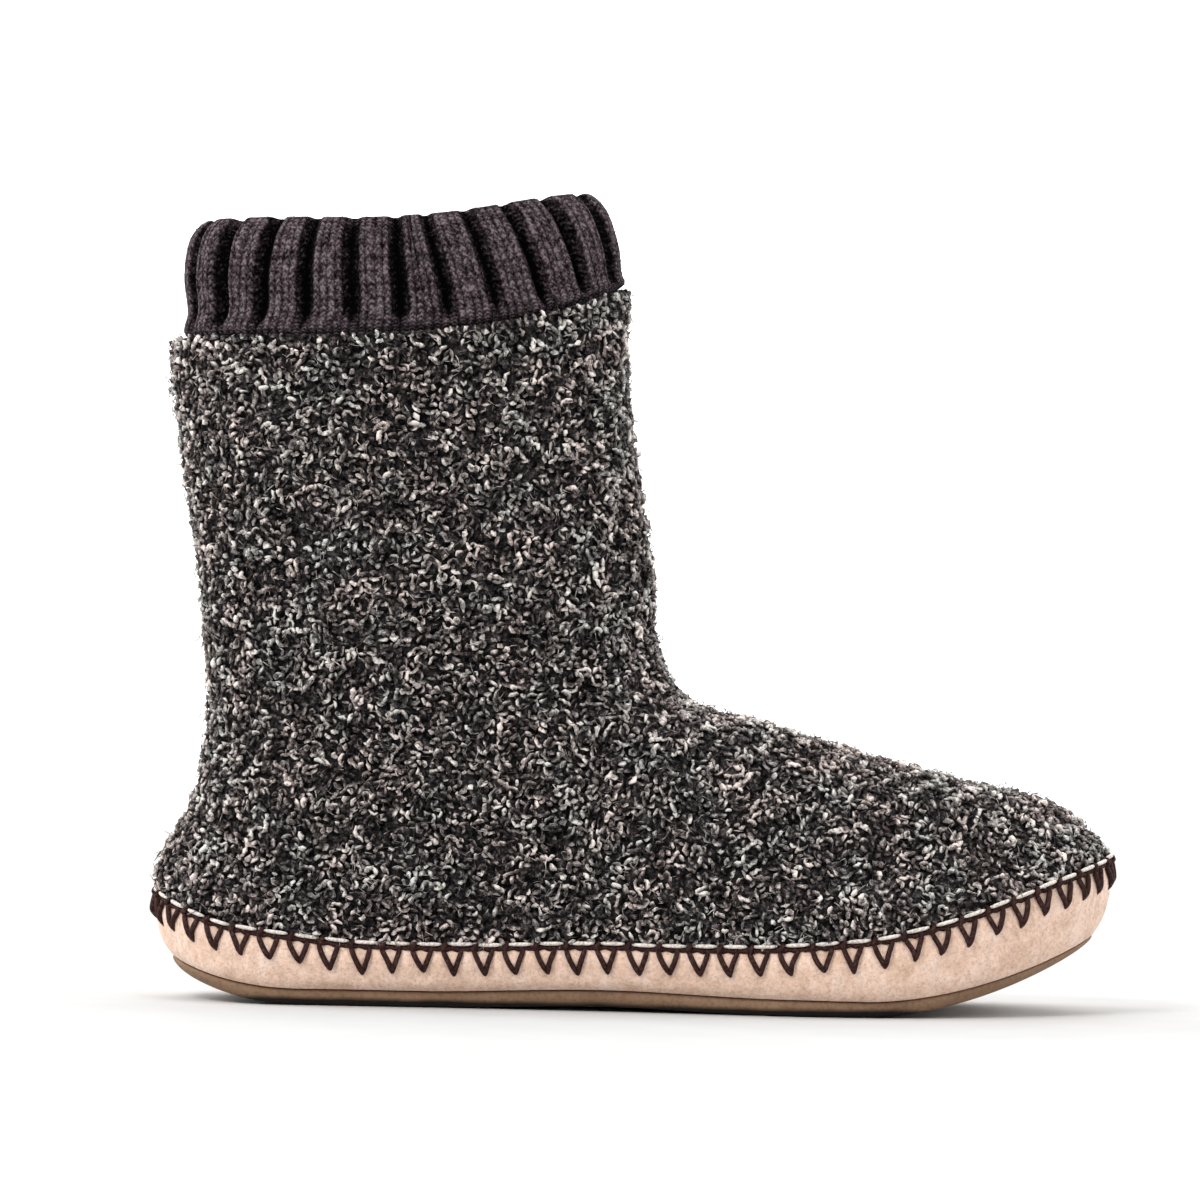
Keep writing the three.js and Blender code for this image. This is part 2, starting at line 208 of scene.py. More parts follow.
# The outsole is a thin moulded rubber sole, cemented under the suede. It is flat under heel and
# ball, low-arched between them, and turns up and thins out at heel and toe.
boot_length = 269.0
heel_width = 72.0
ball_width = 98.0
heel_spring = 12.5
arch_rise = 1.3
toe_spring = 23.5
sole_thickness = 4.4
band_height = 16.4
band_tuck = 4.8
suede_thickness = 1.8
clearance = 0.3
heel_flat = (0.17, 0.28)
ball_flat = (0.655, 0.735)
heel_curve = 2.3
toe_curve = 1.8

outline = {
    "along": (0.0, 0.1, 0.2, 0.32, 0.45, 0.58, 0.7, 0.8, 0.9, 1.0),
    "swing": (0.0, 0.0, 0.0, -0.01, -0.02, -0.02, 0.0, 0.03, 0.07, 0.12),
    "outer": (1.88, 0.94, 1.0, 0.96, 0.92, 0.93, 1.0, 0.95, 0.76, 1.4),
    "inner": (1.88, 0.93, 0.99, 0.88, 0.79, 0.87, 1.0, 0.98, 0.79, 1.4),
}
band = {
    "along": (0.0, 0.07, 0.135, 0.22, 0.5, 0.66, 0.8, 0.92, 1.0),
    "high": (1.03, 1.1, 1.14, 1.02, 1.01, 1.12, 1.34, 1.4, 1.2),
}
tuck = {"up": (0.0, 0.1, 0.25, 0.5, 0.75, 1.0), "inward": (1.0, 0.64, 0.36, 0.11, 0.0, 0.13)}
thinning = {"along": (0.0, 0.12, 0.3, 0.7, 0.85, 1.0), "thick": (0.55, 0.95, 1.0, 1.0, 0.75, 0.3)}


def curve(at, values):
    """A smooth curve through a table's column, as the solids' own curves run."""
    at, values = np.array(at, float), np.array(values, float)
    before = np.maximum(np.arange(len(at)) - 1, 0)
    after = np.minimum(np.arange(len(at)) + 1, len(at) - 1)
    slopes = (values[after] - values[before]) / (at[after] - at[before])

    def read(place):
        place = np.asarray(place, float)
        i = np.clip(np.searchsorted(at, place, side="right") - 1, 0, len(at) - 2)
        step = at[i + 1] - at[i]
        t = np.clip((place - at[i]) / step, 0, 1)
        rise = (1 + 2 * t) * (1 - t) ** 2 * values[i] + t * (1 - t) ** 2 * step * slopes[i]
        return rise + t**2 * (3 - 2 * t) * values[i + 1] + t**2 * (t - 1) * step * slopes[i + 1]

    return read


def mix(first, second, share):
    return first + (second - first) * share


def ease(low, high, value):
    t = np.clip((np.asarray(value, float) - low) / (high - low), 0, 1)
    return t * t * (3 - 2 * t)


def sole_rise(along):
    heel = heel_spring * np.clip((heel_flat[0] - along) / heel_flat[0], 0, 1) ** heel_curve
    toe = toe_spring * np.clip((along - ball_flat[1]) / (1 - ball_flat[1]), 0, 1) ** toe_curve
    arch = np.clip((along - heel_flat[1]) / (ball_flat[0] - heel_flat[1]), 0, 1)
    return heel + toe + arch_rise * np.sin(np.pi * arch) ** 2


sole_share = curve(thinning["along"], thinning["thick"])
band_share = curve(band["along"], band["high"])
swing = curve(outline["along"], outline["swing"])
tuck_share = curve(tuck["up"], tuck["inward"])


def sole_top(along):
    return sole_rise(along) + sole_thickness * sole_share(along)


def tray_bottom(along):
    return sole_top(along) + clearance


def seam_height(along):
    return sole_rise(along) + band_height * band_share(along)


def roundness(side):
    along = np.array(outline["along"])
    angle = np.arccos(1 - 2 * along)
    ends = (along == 0) | (along == 1)
    scale = np.where(ends, 1, 1 / np.where(ends, 1, np.sin(angle)))
    local = mix(heel_width, ball_width, ease(0.2, 0.68, along)) / 2
    return curve(angle, np.array(outline[side]) * scale * local)


outer_round = roundness("outer")
inner_round = roundness("inner")


def along_boot(x):
    return np.clip(x / boot_length, 0, 1)


def sole_half(angle):
    half = np.arccos(np.clip(np.cos(angle), -1, 1))
    return np.where(np.sin(angle) > 0, outer_round(half), inner_round(half)) * np.abs(np.sin(angle))


def seam_ring(angle):
    x = boot_length * (1 - np.cos(angle)) / 2
    y = swing(along_boot(x)) * ball_width / 2 - np.sign(np.sin(angle)) * sole_half(angle)
    return np.stack([x, y, seam_height(along_boot(x))], axis=-1)


def outward_of(ring):
    """The level direction straight out of each point of a closed ring."""
    step = np.roll(ring, -1, axis=0) - np.roll(ring, 1, axis=0)
    out = np.stack([step[:, 1], -step[:, 0], np.zeros(len(ring))], axis=1)
    return out / np.linalg.norm(out, axis=1)[:, None]


fine = 2880
fine_angles = np.linspace(0, 2 * np.pi, fine, endpoint=False)
fine_seam = seam_ring(fine_angles)
fine_out = outward_of(fine_seam)
seam_lengths = np.concatenate([[0], np.cumsum(np.linalg.norm(np.roll(fine_seam, -1, 0) - fine_seam, axis=1))])
seam_length = seam_lengths[-1]


def share_at(angle):
    """Shares of the seam's length at angles round the boot."""
    return np.interp(angle, np.append(fine_angles, 2 * np.pi), seam_lengths / seam_length)


def around(column, share):
    """Reads a column of the fine seam ring at shares of its length."""
    wanted = np.mod(share, 1) * seam_length
    closed = np.concatenate([column, column[:1]])
    return np.interp(wanted, seam_lengths, closed)


def side(share, offset, height):
    """Points of the boot's lower side at shares of the seam's length, moved out by an offset,
    where height(along) gives each point's own height."""
    share = np.asarray(share, float)
    place = np.stack([around(fine_seam[:, k], share) for k in range(3)], axis=-1)
    out = np.stack([around(fine_out[:, k], share) for k in range(3)], axis=-1)
    place = place + out * np.asarray(offset)[..., None]
    along = along_boot(place[..., 0])
    up = (height(along) - tray_bottom(along)) / (seam_height(along) - tray_bottom(along))
    place = place - out * (band_tuck * tuck_share(np.clip(up, 0, 1)))[..., None]
    place[..., 2] = height(along_boot(place[..., 0]))
    return place


stations = 56
station_ring = seam_ring(np.arange(stations) / stations * 2 * np.pi)
shift = np.array([-boot_length / 2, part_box("suede_wrap")[1][1] / MM - station_ring[:, 1].max(), 0.0])


def in_frame(points):
    """From the boot's own millimetres to the shared frame's metres."""
    return (np.asarray(points) + shift) * MM


def quads(low, high):
    """Four-sided faces between two rows of point numbers, each row closed on itself."""
    corners = [low, np.roll(low, -1, -1), np.roll(high, -1, -1), high]
    return np.stack(corners, axis=-1).reshape(-1, 4).tolist()


def new_piece(name, points, faces, finish):
    """A smooth piece in the shared frame, in its own finish."""
    mesh = bpy.data.meshes.new(name)
    mesh.from_pydata(in_frame(points).tolist(), [], faces)
    mesh.polygons.foreach_set("use_smooth", [True] * len(mesh.polygons))
    mesh.update()
    piece = bpy.data.objects.new(name, mesh)
    bpy.context.scene.collection.objects.link(piece)
    mesh.materials.append(finish.material)
    return piece


def rings_mesh(name, rings, kind, finish, node=None):
    """A skin over rings of equal count: a wall closes on itself, a slab is closed by rungs."""
    count = len(rings[0])
    rows = len(rings)
    grid = np.arange(rows * count).reshape(rows, count)
    low, high = grid[:-1], grid[1:]
    if kind == "wall":
        low, high = grid, np.roll(grid, -1, axis=0)
    faces = quads(low, high)
    if kind == "slab":
        for ring, turned_up in ((grid[0], False), (grid[-1], True)):
            for i in range(count // 2):
                rung = [ring[i], ring[i + 1], ring[(count - i - 1) % count], ring[(count - i) % count]]
                rung = list(dict.fromkeys(int(v) for v in rung))
                faces.append(rung if turned_up else rung[::-1])
    piece = new_piece(name, np.concatenate(rings), faces, finish)
    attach(piece, "root")
    if node:
        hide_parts(node)
    return piece


# Rungs need the two sides of a ring to mirror each other along the boot, so slabs are laid out by
# angle, as shares of the seam's length.
slab_columns = 360
slab_shares = share_at(np.linspace(0, 2 * np.pi, slab_columns, endpoint=False))
shade_edge_height = 4.0

rubber = Finish("tan_rubber", Roughness=0.7, Specular_IOR_Level=0.3)
rubber_cloud = rubber.noise(60, 4)
rubber_grain = rubber.noise(900, 2)
rubber_colour = rubber.ramp(rubber_cloud, (0.3, (0.2, 0.12, 0.07)), (0.7, (0.29, 0.18, 0.11)))
rubber_dust = rubber.ramp(rubber_grain, (0.45, (1, 1, 1)), (0.75, (0.72, 0.7, 0.68)))
rubber_colour = rubber.mix(1.0, rubber_colour, rubber_dust, "MULTIPLY")
# The rubber is darkened to near black towards its lower edge, by height above the floor with a mottled limit:
# painted shade of the contact shadow under the sole's rounded edge.
rubber_up = rubber.node("ShaderNodeSeparateXYZ", {}, {"Vector": rubber.place()}, output="Z")
rubber_shade_amount = rubber_up * (1 / (shade_edge_height * MM)) + (rubber_cloud - 0.5) * 0.3
rubber_painted_shade = rubber.ramp(rubber_shade_amount, (0.38, (0.03, 0.02, 0.015)), (0.68, (1, 1, 1)))
rubber.set("Base Color", rubber.mix(1.0, rubber_colour, rubber_painted_shade, "MULTIPLY"))
rubber.relief(rubber_grain, 0.5, 0.0003)


def sole_layer(share):
    return lambda along: mix(sole_rise(along), sole_top(along), share)


sole_edge = -band_tuck * 0.1
sole_inset = (2.8, 2.1, 1.2, 0.5, 0.1, 0.0, 0.1, 0.4)
sole_up = (0.0, 0.06, 0.2, 0.38, 0.58, 0.75, 0.9, 1.0)
sole_rings = [side(slab_shares, sole_edge - inset, sole_layer(up)) for inset, up in zip(sole_inset, sole_up)]
rings_mesh("outsole_rubber", sole_rings, "slab", rubber, "outsole")

# The suede wrap is one piece of pale napped suede, turned up round the foot's side as a soft wall.
# Its top edge is caught by the whipstitch, which puckers it a little at every hole.
stitch_count = 75
stitch_depth = 7.0
tip_share = (np.arange(stitch_count) + 0.5) / stitch_count

suede = Finish("pale_suede", Roughness=0.95, Specular_IOR_Level=0.1, Sheen_Weight=0.2, Sheen_Roughness=0.5)
suede_cloud = suede.noise(110, 5, 0.7)
suede_nap = suede.noise(1000, 4, 0.85)
suede_streak = suede.noise(500, 2, 0.5, suede.stretch(1.0, 1.0, 0.35))
suede_colour = suede.ramp(
    suede_cloud,
    (0.3, (0.72, 0.51, 0.39)),
    (0.5, (0.88, 0.65, 0.525)),
    (0.7, (0.95, 0.76, 0.66)),
)
suede_speck = suede.ramp(
    suede_nap,
    (0.34, (0.6, 0.52, 0.46)),
    (0.5, (0.95, 0.93, 0.91)),
    (0.66, (1.12, 1.1, 1.08)),
)
suede_colour = suede.mix(0.75, suede_colour, suede_speck, "MULTIPLY")
suede_shade = suede.ramp(suede_streak, (0.3, (0.84, 0.8, 0.77)), (0.6, (1, 1, 1)))
suede.set("Base Color", suede.mix(0.7, suede_colour, suede_shade, "MULTIPLY"))
suede.relief(suede_nap + suede_streak * 0.8, 0.5, 0.0004)


def tray_side(share):
    return lambda along: mix(tray_bottom(along), seam_height(along), share)


def tray_floor(along):
    return tray_bottom(along) + suede_thickness


wrap_columns = 1000
wrap_shares = share_at(np.linspace(0, 2 * np.pi, wrap_columns, endpoint=False))
hole_pull = 0.42
edge_pull = 0.5
wave_depth = 0.22


def pucker(share, up):
    """How far the suede is drawn in near the whipstitch's holes, and swells between them."""
    phase = np.mod(share * stitch_count, 1) - 0.5
    pitch = seam_length / stitch_count
    wall = band_height - sole_thickness
    hole_up = 1 - stitch_depth / wall
    reach = (phase * pitch) ** 2 / 2.2 + ((up - hole_up) * wall) ** 2 / 5
    pull = -hole_pull * np.exp(-reach)
    edge = -edge_pull * ease(0.62, 1.0, up) * (0.6 + 0.4 * np.cos(2 * np.pi * phase))
    turn = share * 2 * np.pi
    wave = wave_depth * np.sin(turn * 31 + 1.7 * np.sin(turn * 7)) * ease(0.0, 0.3, up)
    return pull + edge + wave * (1 - ease(0.5, 0.95, up))


wrap_ups = np.concatenate([np.linspace(0, 0.1, 5), np.linspace(0.15, 0.92, 24), (0.96, 0.985)])
wrap_rings = [side(wrap_shares, pucker(wrap_shares, up), tray_side(up)) for up in wrap_ups]
wrap_rings.append(side(wrap_shares, pucker(wrap_shares, 1.0) - 0.35, tray_side(1.0)))
wrap_rings.append(side(wrap_shares, pucker(wrap_shares, 1.0) - suede_thickness + 0.9, tray_side(1.0)))
for up in (0.9, 0.5, 0.3):
    wrap_rings.append(side(wrap_shares, -suede_thickness, tray_side(up)))
wrap_rings.append(side(wrap_shares, -suede_thickness, tray_floor))
rings_mesh("suede_band", wrap_rings, "slab", suede, "suede_wrap")

# The insole is a soft board faced with felt, cut to lie loose inside the boot on the suede tray.
# It keeps the form of its solid, and only its felt is added here.
felt = Finish("insole_felt", Roughness=0.95, Sheen_Weight=0.3)
felt_fibre = felt.noise(1500, 4, 0.7)
felt_colour = felt.ramp(felt_fibre, (0.3, (0.3, 0.28, 0.25)), (0.7, (0.5, 0.47, 0.43)))
felt.set("Base Color", felt_colour)
felt.relief(felt_fibre, 0.6, 0.0004)
felt_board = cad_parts["insole"]
felt_board.data.materials.clear()
felt_board.data.materials.append(felt.material)

# The upper is one shell of thick curly knit, foot and shaft in one, stepping in under the suede's
# edge. Its own form follows the same slices as the solid: heel, vamp, instep and leaning shaft.
instep_height = 85.0
ankle_width = 76.0
upper_height = 185.0
edge_rise = 16.0
shaft_setback = 3.0
shaft_depth = 127.0
shaft_width = 86.0
cuff_height = 34.0
knit_wall = 3.2
shaft_full = 2.15
shaft_widest = 0.5

foot_slices = {
    "back": (0.001, 0.007, 0.019, 0.033, 0.041, 0.046, 0.049, 0.051, 0.052),
    "back_up": (0.4, 0.48, 0.557, 0.632, 0.703, 0.775, 0.846, 0.917, 0.988),
    "front": (0.99, 0.972, 0.949, 0.908, 0.838, 0.757, 0.686, 0.623, 0.566),
    "front_up": (0.555, 0.617, 0.673, 0.721, 0.765, 0.83, 0.893, 0.95, 1.003),
    "wide": (1.06, 1.03, 1.0, 1.0, 1.0, 0.99, 0.99, 0.99, 1.0),
    "widest": (0.4, 0.4, 0.38, 0.36, 0.36, 0.37, 0.4, 0.43, 0.46),
    "full": (2.4, 2.4, 2.4, 2.4, 2.4, 2.35, 2.3, 2.25, 2.2),
    "sole": (0.99, 0.68, 0.37, 0.22, 0.09, 0.02, 0.0, 0.0, 0.0),
    "seam": (0.97, 0.8, 0.55, 0.32, 0.16, 0.06, 0.0, 0.0, 0.0),
}
shaft_slices = {
    "up": (0.065, 0.17, 0.35, 0.55, 0.75, 0.91, 1.0),
    "back": (0.083, 0.075, 0.066, 0.04, 0.015, -0.004, 0.0),
    "front": (1.11, 1.072, 1.058, 1.035, 1.014, 1.001, 1.004),
    "wide": (0.905, 0.925, 0.95, 0.975, 0.99, 1.0, 1.0),
    "rise": (0.06, 0.12, 0.12, 0.12, 0.25, 0.55, 1.0),
    "late": (1.0, 1.0, 1.0, 1.5, 2.0, 3.0, 4.0),
}
cuff_slices = {
    "up": (0.2, 0.5, 0.8, 1.0),
    "back": (0.02, 0.012, 0.022, 0.052),
    "front": (0.99, 0.981, 0.955, 0.918),
    "wide": (0.965, 0.965, 0.95, 0.915),
    "rise": (0.85, 0.7, 0.66, 0.64),
    "late": (3.6, 3.2, 2.6, 2.2),
}

foot = {name: np.array(column) for name, column in foot_slices.items()}
shaft = {name: np.array(column) for name, column in shaft_slices.items()}
roll_over = {name: np.array(column) for name, column in cuff_slices.items()}
leg = {name: np.concatenate([shaft[name], roll_over[name]]) for name in shaft}
shaft_z = mix(instep_height, upper_height, shaft["up"])
leg_back_z = np.concatenate([shaft_z, upper_height + roll_over["up"] * cuff_height])
leg_front_z = leg_back_z + leg["rise"] * edge_rise
leg_count = len(leg_back_z)


def stacked(at_seam, foot_part, leg_part):
    return np.concatenate([[at_seam], foot_part, leg_part])


columns = {
    "back": stacked(0, foot["back"] * boot_length, shaft_setback + leg["back"] * shaft_depth),
    "back_z": stacked(seam_height(0.0), foot["back_up"] * instep_height, leg_back_z),
    "front": stacked(boot_length, foot["front"] * boot_length, shaft_setback + leg["front"] * shaft_depth),
    "front_z": stacked(seam_height(1.0), foot["front_up"] * instep_height, leg_front_z),
    "half": stacked(ankle_width / 2, foot["wide"] * ankle_width / 2, leg["wide"] * shaft_width / 2),
    "widest": stacked(0.4, foot["widest"], np.full(leg_count, shaft_widest)),
    "full": stacked(2.4, foot["full"], np.full(leg_count, shaft_full)),
    "sole": stacked(1, foot["sole"], np.zeros(leg_count)),
    "seam": stacked(1, foot["seam"], np.zeros(leg_count)),
    "late": stacked(1, np.ones(len(foot["back"])), leg["late"]),
}
top_edge = len(foot["back"]) + len(shaft["up"])
cuff_top = top_edge + len(roll_over["up"])
read = {name: curve(np.arange(cuff_top + 1), column) for name, column in columns.items()}


def form(level, angle):
    """The boot's outer form at levels from the seam, 0, to the cuff's top, and at angles round it."""
    share = (1 - np.cos(angle)) / 2
    x = mix(read["back"](level), read["front"](level), share)
    widest, full = read["widest"](level), read["full"](level)
    reach = np.where(share > widest, (share - widest) / (1 - widest), (widest - share) / widest)
    oval = read["half"](level) * np.clip(1 - reach**full, 0, 1) ** (1 / full)
    width = mix(oval, sole_half(angle), read["sole"](level))
    plane = mix(read["back_z"](level), read["front_z"](level), share ** read["late"](level))
    sweep = seam_height(share) - mix(seam_height(0.0), seam_height(1.0), share)
    y = swing(along_boot(x)) * ball_width / 2 - np.sign(np.sin(angle)) * width
    return np.stack([x, y, plane + read["seam"](level) * sweep], axis=-1)


def facing(level, angle):
    """The direction square to the form, level near the seam as in the solids."""
    low, high = np.maximum(0, level - 0.04), np.minimum(cuff_top, level + 0.04)
    turn = form(level, angle + 0.02) - form(level, angle - 0.02)
    square = np.cross(turn, form(high, angle) - form(low, angle))
    square /= np.linalg.norm(square, axis=-1)[..., None]
    flat = np.stack([turn[..., 1], -turn[..., 0], np.zeros_like(turn[..., 0])], axis=-1)
    flat /= np.linalg.norm(flat, axis=-1)[..., None]
    out = mix(flat, square, ease(0, 1, level)[..., None])
    return out / np.linalg.norm(out, axis=-1)[..., None]


def skin(level, angle, offset):
    level, angle = np.broadcast_arrays(np.asarray(level, float), np.asarray(angle, float))
    return form(level, angle) + facing(level, angle) * np.asarray(offset)[..., None]


def even_angles(level, count):
    """Angles that divide a ring at one level into equal lengths."""
    turns = np.linspace(0, 2 * np.pi, 1441)
    ring = form(np.full(1441, float(level)), turns)
    lengths = np.concatenate([[0], np.cumsum(np.linalg.norm(np.diff(ring, axis=0), axis=1))])
    return np.interp(np.arange(count) / count * lengths[-1], lengths, turns)


# Long soft folds in the shaft's sides and across the bend of the instep, as it stands empty.
def slump(level, angle):
    front = np.cos(angle + np.pi)
    ankle = np.exp(-((level - 9.3) / 1.1) ** 2) * np.clip(front, 0, 1) ** 3
    waves = 0.45 * np.sin(3 * angle + 0.9 * level) + 0.35 * np.sin(5 * angle - 1.3 * level + 1)
    calf = 1.6 * np.exp(-((level - 12.2) / 1.3) ** 2) * np.clip(-front, 0, 1) ** 4
    return waves * ease(7, 12, level) - 0.5 * ankle + calf


pinch = suede_thickness + clearance
curl_bed = 1.1
knit_columns = 300
knit_angles = even_angles(13, knit_columns)


def knit_under(level):
    free = ease(0.05, 0.6, level)
    return -(pinch + band_tuck * tuck_share(1)) * (1 - free) - curl_bed * free


# The ground under the curls is near black: partly the knit's own dark yarn, partly painted shade in the deep
# gaps between the curls.
ground = Finish("knit_ground_and_gap_shade", Roughness=1.0, Specular_IOR_Level=0.05)
ground_noise = ground.noise(560, 4, 0.7)
ground_colour_and_gap_shade = ground.ramp(
    ground_noise,
    (0.42, (0.0015, 0.0015, 0.0015)),
    (0.56, (0.026, 0.023, 0.023)),
    (0.72, (0.17, 0.15, 0.15)),
)
ground.set("Base Color", ground_colour_and_gap_shade)
ground.relief(ground_noise, 0.9, 0.0008)


def knit_foot(share):
    return lambda along: mix(tray_floor(along) + clearance, seam_height(along), share)


foot_heights = [knit_foot(share) for share in (0, 0.4, 0.75, 1)]
knit_shares = share_at(knit_angles)
knit_rings = [side(knit_shares, -pinch, height) for height in foot_heights]
outside_levels = [np.linspace(0.08, 4, 26), np.linspace(4.2, 9, 24), np.linspace(9.2, top_edge - 0.05, 34)]
for level in np.concatenate(outside_levels):
    knit_rings.append(skin(level, knit_angles, knit_under(level) + slump(level, knit_angles)))
knit_rings.append(skin(top_edge, knit_angles, -curl_bed - 0.5))
for level in np.concatenate([np.linspace(top_edge, 9, 14), np.linspace(8.5, 0.1, 20)]):
    knit_rings.append(skin(level, knit_angles, -knit_wall))
for height in foot_heights[::-1]:
    knit_rings.append(side(knit_shares, -knit_wall, height))
rings_mesh("upper_knit", knit_rings, "wall", ground, "upper")

# The knit's face is a thick marled yarn, black, grey and off-white, thrown up in short curls that
# lie every way over the dark ground, whose near black is partly painted shade.
chance = np.random.default_rng(11)
curl_spacing = 1.8
yarn_sides = 3
curl_rings_each = 5
ply_twist = 0.9
ply_stretch = 0.35
noise_tilt = (0.6, 0.5, 0.4)


def scatter(spacing):
    """Places spread evenly over the knit's outside, as levels and angles."""
    levels = np.linspace(0.35, top_edge - 0.06, 520)
    turns = np.linspace(0, 2 * np.pi, 361)
    level_grid, turn_grid = np.meshgrid(levels, turns[:-1], indexing="ij")
    corner = form(level_grid, turn_grid)
    across = np.linalg.norm(np.roll(corner, -1, axis=1) - corner, axis=-1)[:-1]
    up = np.linalg.norm(corner[1:] - corner[:-1], axis=-1)
    area = (across * up).ravel()
    wanted = int(area.sum() / spacing**2 * 6)
    cell = chance.choice(len(area), wanted, p=area / area.sum())
    level = level_grid[:-1].ravel()[cell] + chance.random(wanted) * (levels[1] - levels[0])
    turn = turn_grid[:-1].ravel()[cell] + chance.random(wanted) * (turns[1] - turns[0])
    points = form(level, turn)
    tree = kdtree.KDTree(wanted)
    for i, point in enumerate(points):
        tree.insert(point, i)
    tree.balance()
    free = np.ones(wanted, bool)
    kept = []
    for i in range(wanted):
        if free[i]:
            kept.append(i)
            for _, j, _ in tree.find_range(points[i], spacing * 0.86):
                free[j] = False
    return level[kept], turn[kept]


def round_yarns(centres, away, radii, sides):
    """Points and faces of round yarns along paths, all with equally many rings."""
    n, rings, _ = centres.shape
    ahead = np.gradient(centres, axis=1)
    ahead /= np.linalg.norm(ahead, axis=-1)[..., None] + 1e-9
    wide = np.cross(ahead, away)
    wide /= np.linalg.norm(wide, axis=-1)[..., None] + 1e-9
    high = np.cross(ahead, wide)
    turn = np.linspace(0, 2 * np.pi, sides, endpoint=False)
    spoke = wide[:, :, None] * np.cos(turn)[:, None] + high[:, :, None] * np.sin(turn)[:, None]
    points = centres[:, :, None] + spoke * radii[..., None, None]
    grid = np.arange(n * rings * sides).reshape(n, rings, sides)
    ends = np.concatenate([grid[:, 0, ::-1], grid[:, -1]]).tolist()
    return points, quads(grid[:, :-1], grid[:, 1:]) + ends


def keep(piece, name, kind, field, values):
    """Keeps values of every point on the piece, for its finish to read as dye, plies and painted light."""
    piece.data.attributes.new(name, kind, "POINT").data.foreach_set(field, np.ravel(values))


def yarn_mesh(name, centres, radii, normals, tones, finish):
    """Short yarns, with their tone, their twisted plies and their height above the foot kept; the
    height paints curl tops lighter than their flanks, as painted light.
    """
    n, rings, _ = centres.shape
    points, faces = round_yarns(centres, normals[:, None, :], radii, yarn_sides)
    piece = new_piece(name, points.reshape(-1, 3), faces, finish)
    keep(piece, "tone", "FLOAT", "value", np.repeat(tones, rings * yarn_sides))
    lengths = np.linalg.norm(np.diff(centres, axis=1), axis=-1)
    far = np.concatenate([np.zeros((n, 1)), np.cumsum(lengths, axis=1)], axis=1)[..., None]
    twist = np.linspace(0, 2 * np.pi, yarn_sides, endpoint=False) + far * ply_twist
    own = np.arange(n)[:, None, None] * 0.37
    strand = np.broadcast_arrays(np.cos(twist) + own, np.sin(twist), far * ply_stretch)
    keep(piece, "plies", "FLOAT_VECTOR", "vector", np.stack(strand, axis=-1))
    # Each point's height along the curl's normal, kept for the painted light on the curls' tops.
    height = np.einsum("nrsk,nk->nrs", points - centres[:, :1, None], normals)
    keep(piece, "crest", "FLOAT", "value", height)
    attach(piece, "root")


marl = Finish("marled_yarn", Roughness=0.9, Specular_IOR_Level=0.08)
marl_tone = marl.node("ShaderNodeAttribute", {"attribute_name": "tone"}, {}, output="Fac")
marl_plies = marl.node("ShaderNodeAttribute", {"attribute_name": "plies"}, {}, output="Vector")
marl_fibre = marl.noise(2.2, 4, 0.7, marl_plies)
marl_fleck = marl.noise(620, 3, 0.7)
marl_turned = marl.node("ShaderNodeMapping", {}, {"Vector": marl.place(), "Rotation": noise_tilt})
marl_swirl = marl.noise(250, 3, 0.55, marl_turned)
marl_painted_top_light = marl.node("ShaderNodeAttribute", {"attribute_name": "crest"}, {}, output="Fac")
# Curls are painted lighter where they stand highest and darker on their flanks: painted light and shade.
marl_amount = marl_tone + (marl_fleck - 0.5) * 1.2 + (marl_swirl - 0.5) * 1.9
marl_amount = marl_amount + (marl_fibre - 0.5) * 1.2 + marl_painted_top_light * 0.24
marl_colour = marl.ramp(
    marl_amount,
    (0.08, (0.004, 0.0035, 0.0037)),
    (0.33, (0.04, 0.034, 0.034)),
    (0.55, (0.145, 0.127, 0.124)),
    (0.78, (0.42, 0.385, 0.368)),
    (1.0, (0.86, 0.81, 0.77)),
)
marl_patch = marl.noise(75, 2, 0.5)
marl_tint = marl.ramp(marl_patch, (0.36, (0.9, 0.95, 0.94)), (0.62, (1.06, 0.98, 0.96)))
marl.set("Base Color", marl.mix(1.0, marl_colour, marl_tint, "MULTIPLY"))
marl.relief(marl_fibre + marl_fleck * 0.5, 0.6, 0.0003)

curl_level, curl_turn = scatter(curl_spacing)
curl_count = len(curl_level)
curl_out = facing(curl_level, curl_turn)
curl_side = np.cross(curl_out, chance.normal(size=(curl_count, 3)))
curl_side /= np.linalg.norm(curl_side, axis=1)[:, None]
curl_ahead = np.cross(curl_out, curl_side)
lift = chance.uniform(-0.1, 0.9, curl_count)[:, None]
curl_rise = curl_ahead * np.cos(lift) + curl_out * np.sin(lift)
curl_length = chance.uniform(1.7, 3.6, curl_count)
curl_sweep = chance.uniform(0.8, 3.4, curl_count)
curl_radius = curl_length / curl_sweep
steps = np.linspace(-0.5, 0.5, curl_rings_each)
bend = steps[None] * curl_sweep[:, None]
curl_foot = form(curl_level, curl_turn)
oblique = Euler(noise_tilt).to_matrix()
clump_size = 3.6
clump = [noise.fractal(oblique @ Vector(point) / clump_size, 0.8, 2.1, 2) for point in curl_foot.tolist()]
clump = np.array(clump)
curl_bedding = knit_under(curl_level) + slump(curl_level, curl_turn) + chance.uniform(0.2, 1.1, curl_count)
middle = curl_foot + curl_out * (curl_bedding + 1.3 * clump)[:, None]
arc = curl_side[:, None] * (np.sin(bend) * curl_radius[:, None])[..., None]
arc = arc + curl_rise[:, None] * ((np.cos(bend) - 1) * curl_radius[:, None])[..., None]
curl_thick = chance.uniform(0.5, 0.95, curl_count)[:, None] * (1 - 0.5 * np.abs(steps * 2) ** 3)[None]
curl_thick = curl_thick * chance.uniform(0.7, 1.25, curl_thick.shape)
arc = arc + chance.normal(0, 0.14, arc.shape)
curl_tone = np.clip(chance.normal(0.475, 0.04, curl_count) + 0.42 * clump, 0.0, 0.9)
curl_triangles = 2 * yarn_sides * (curl_rings_each - 1) + 2
most_triangles = 190000
curl_pieces = math.ceil(curl_count * curl_triangles / most_triangles)
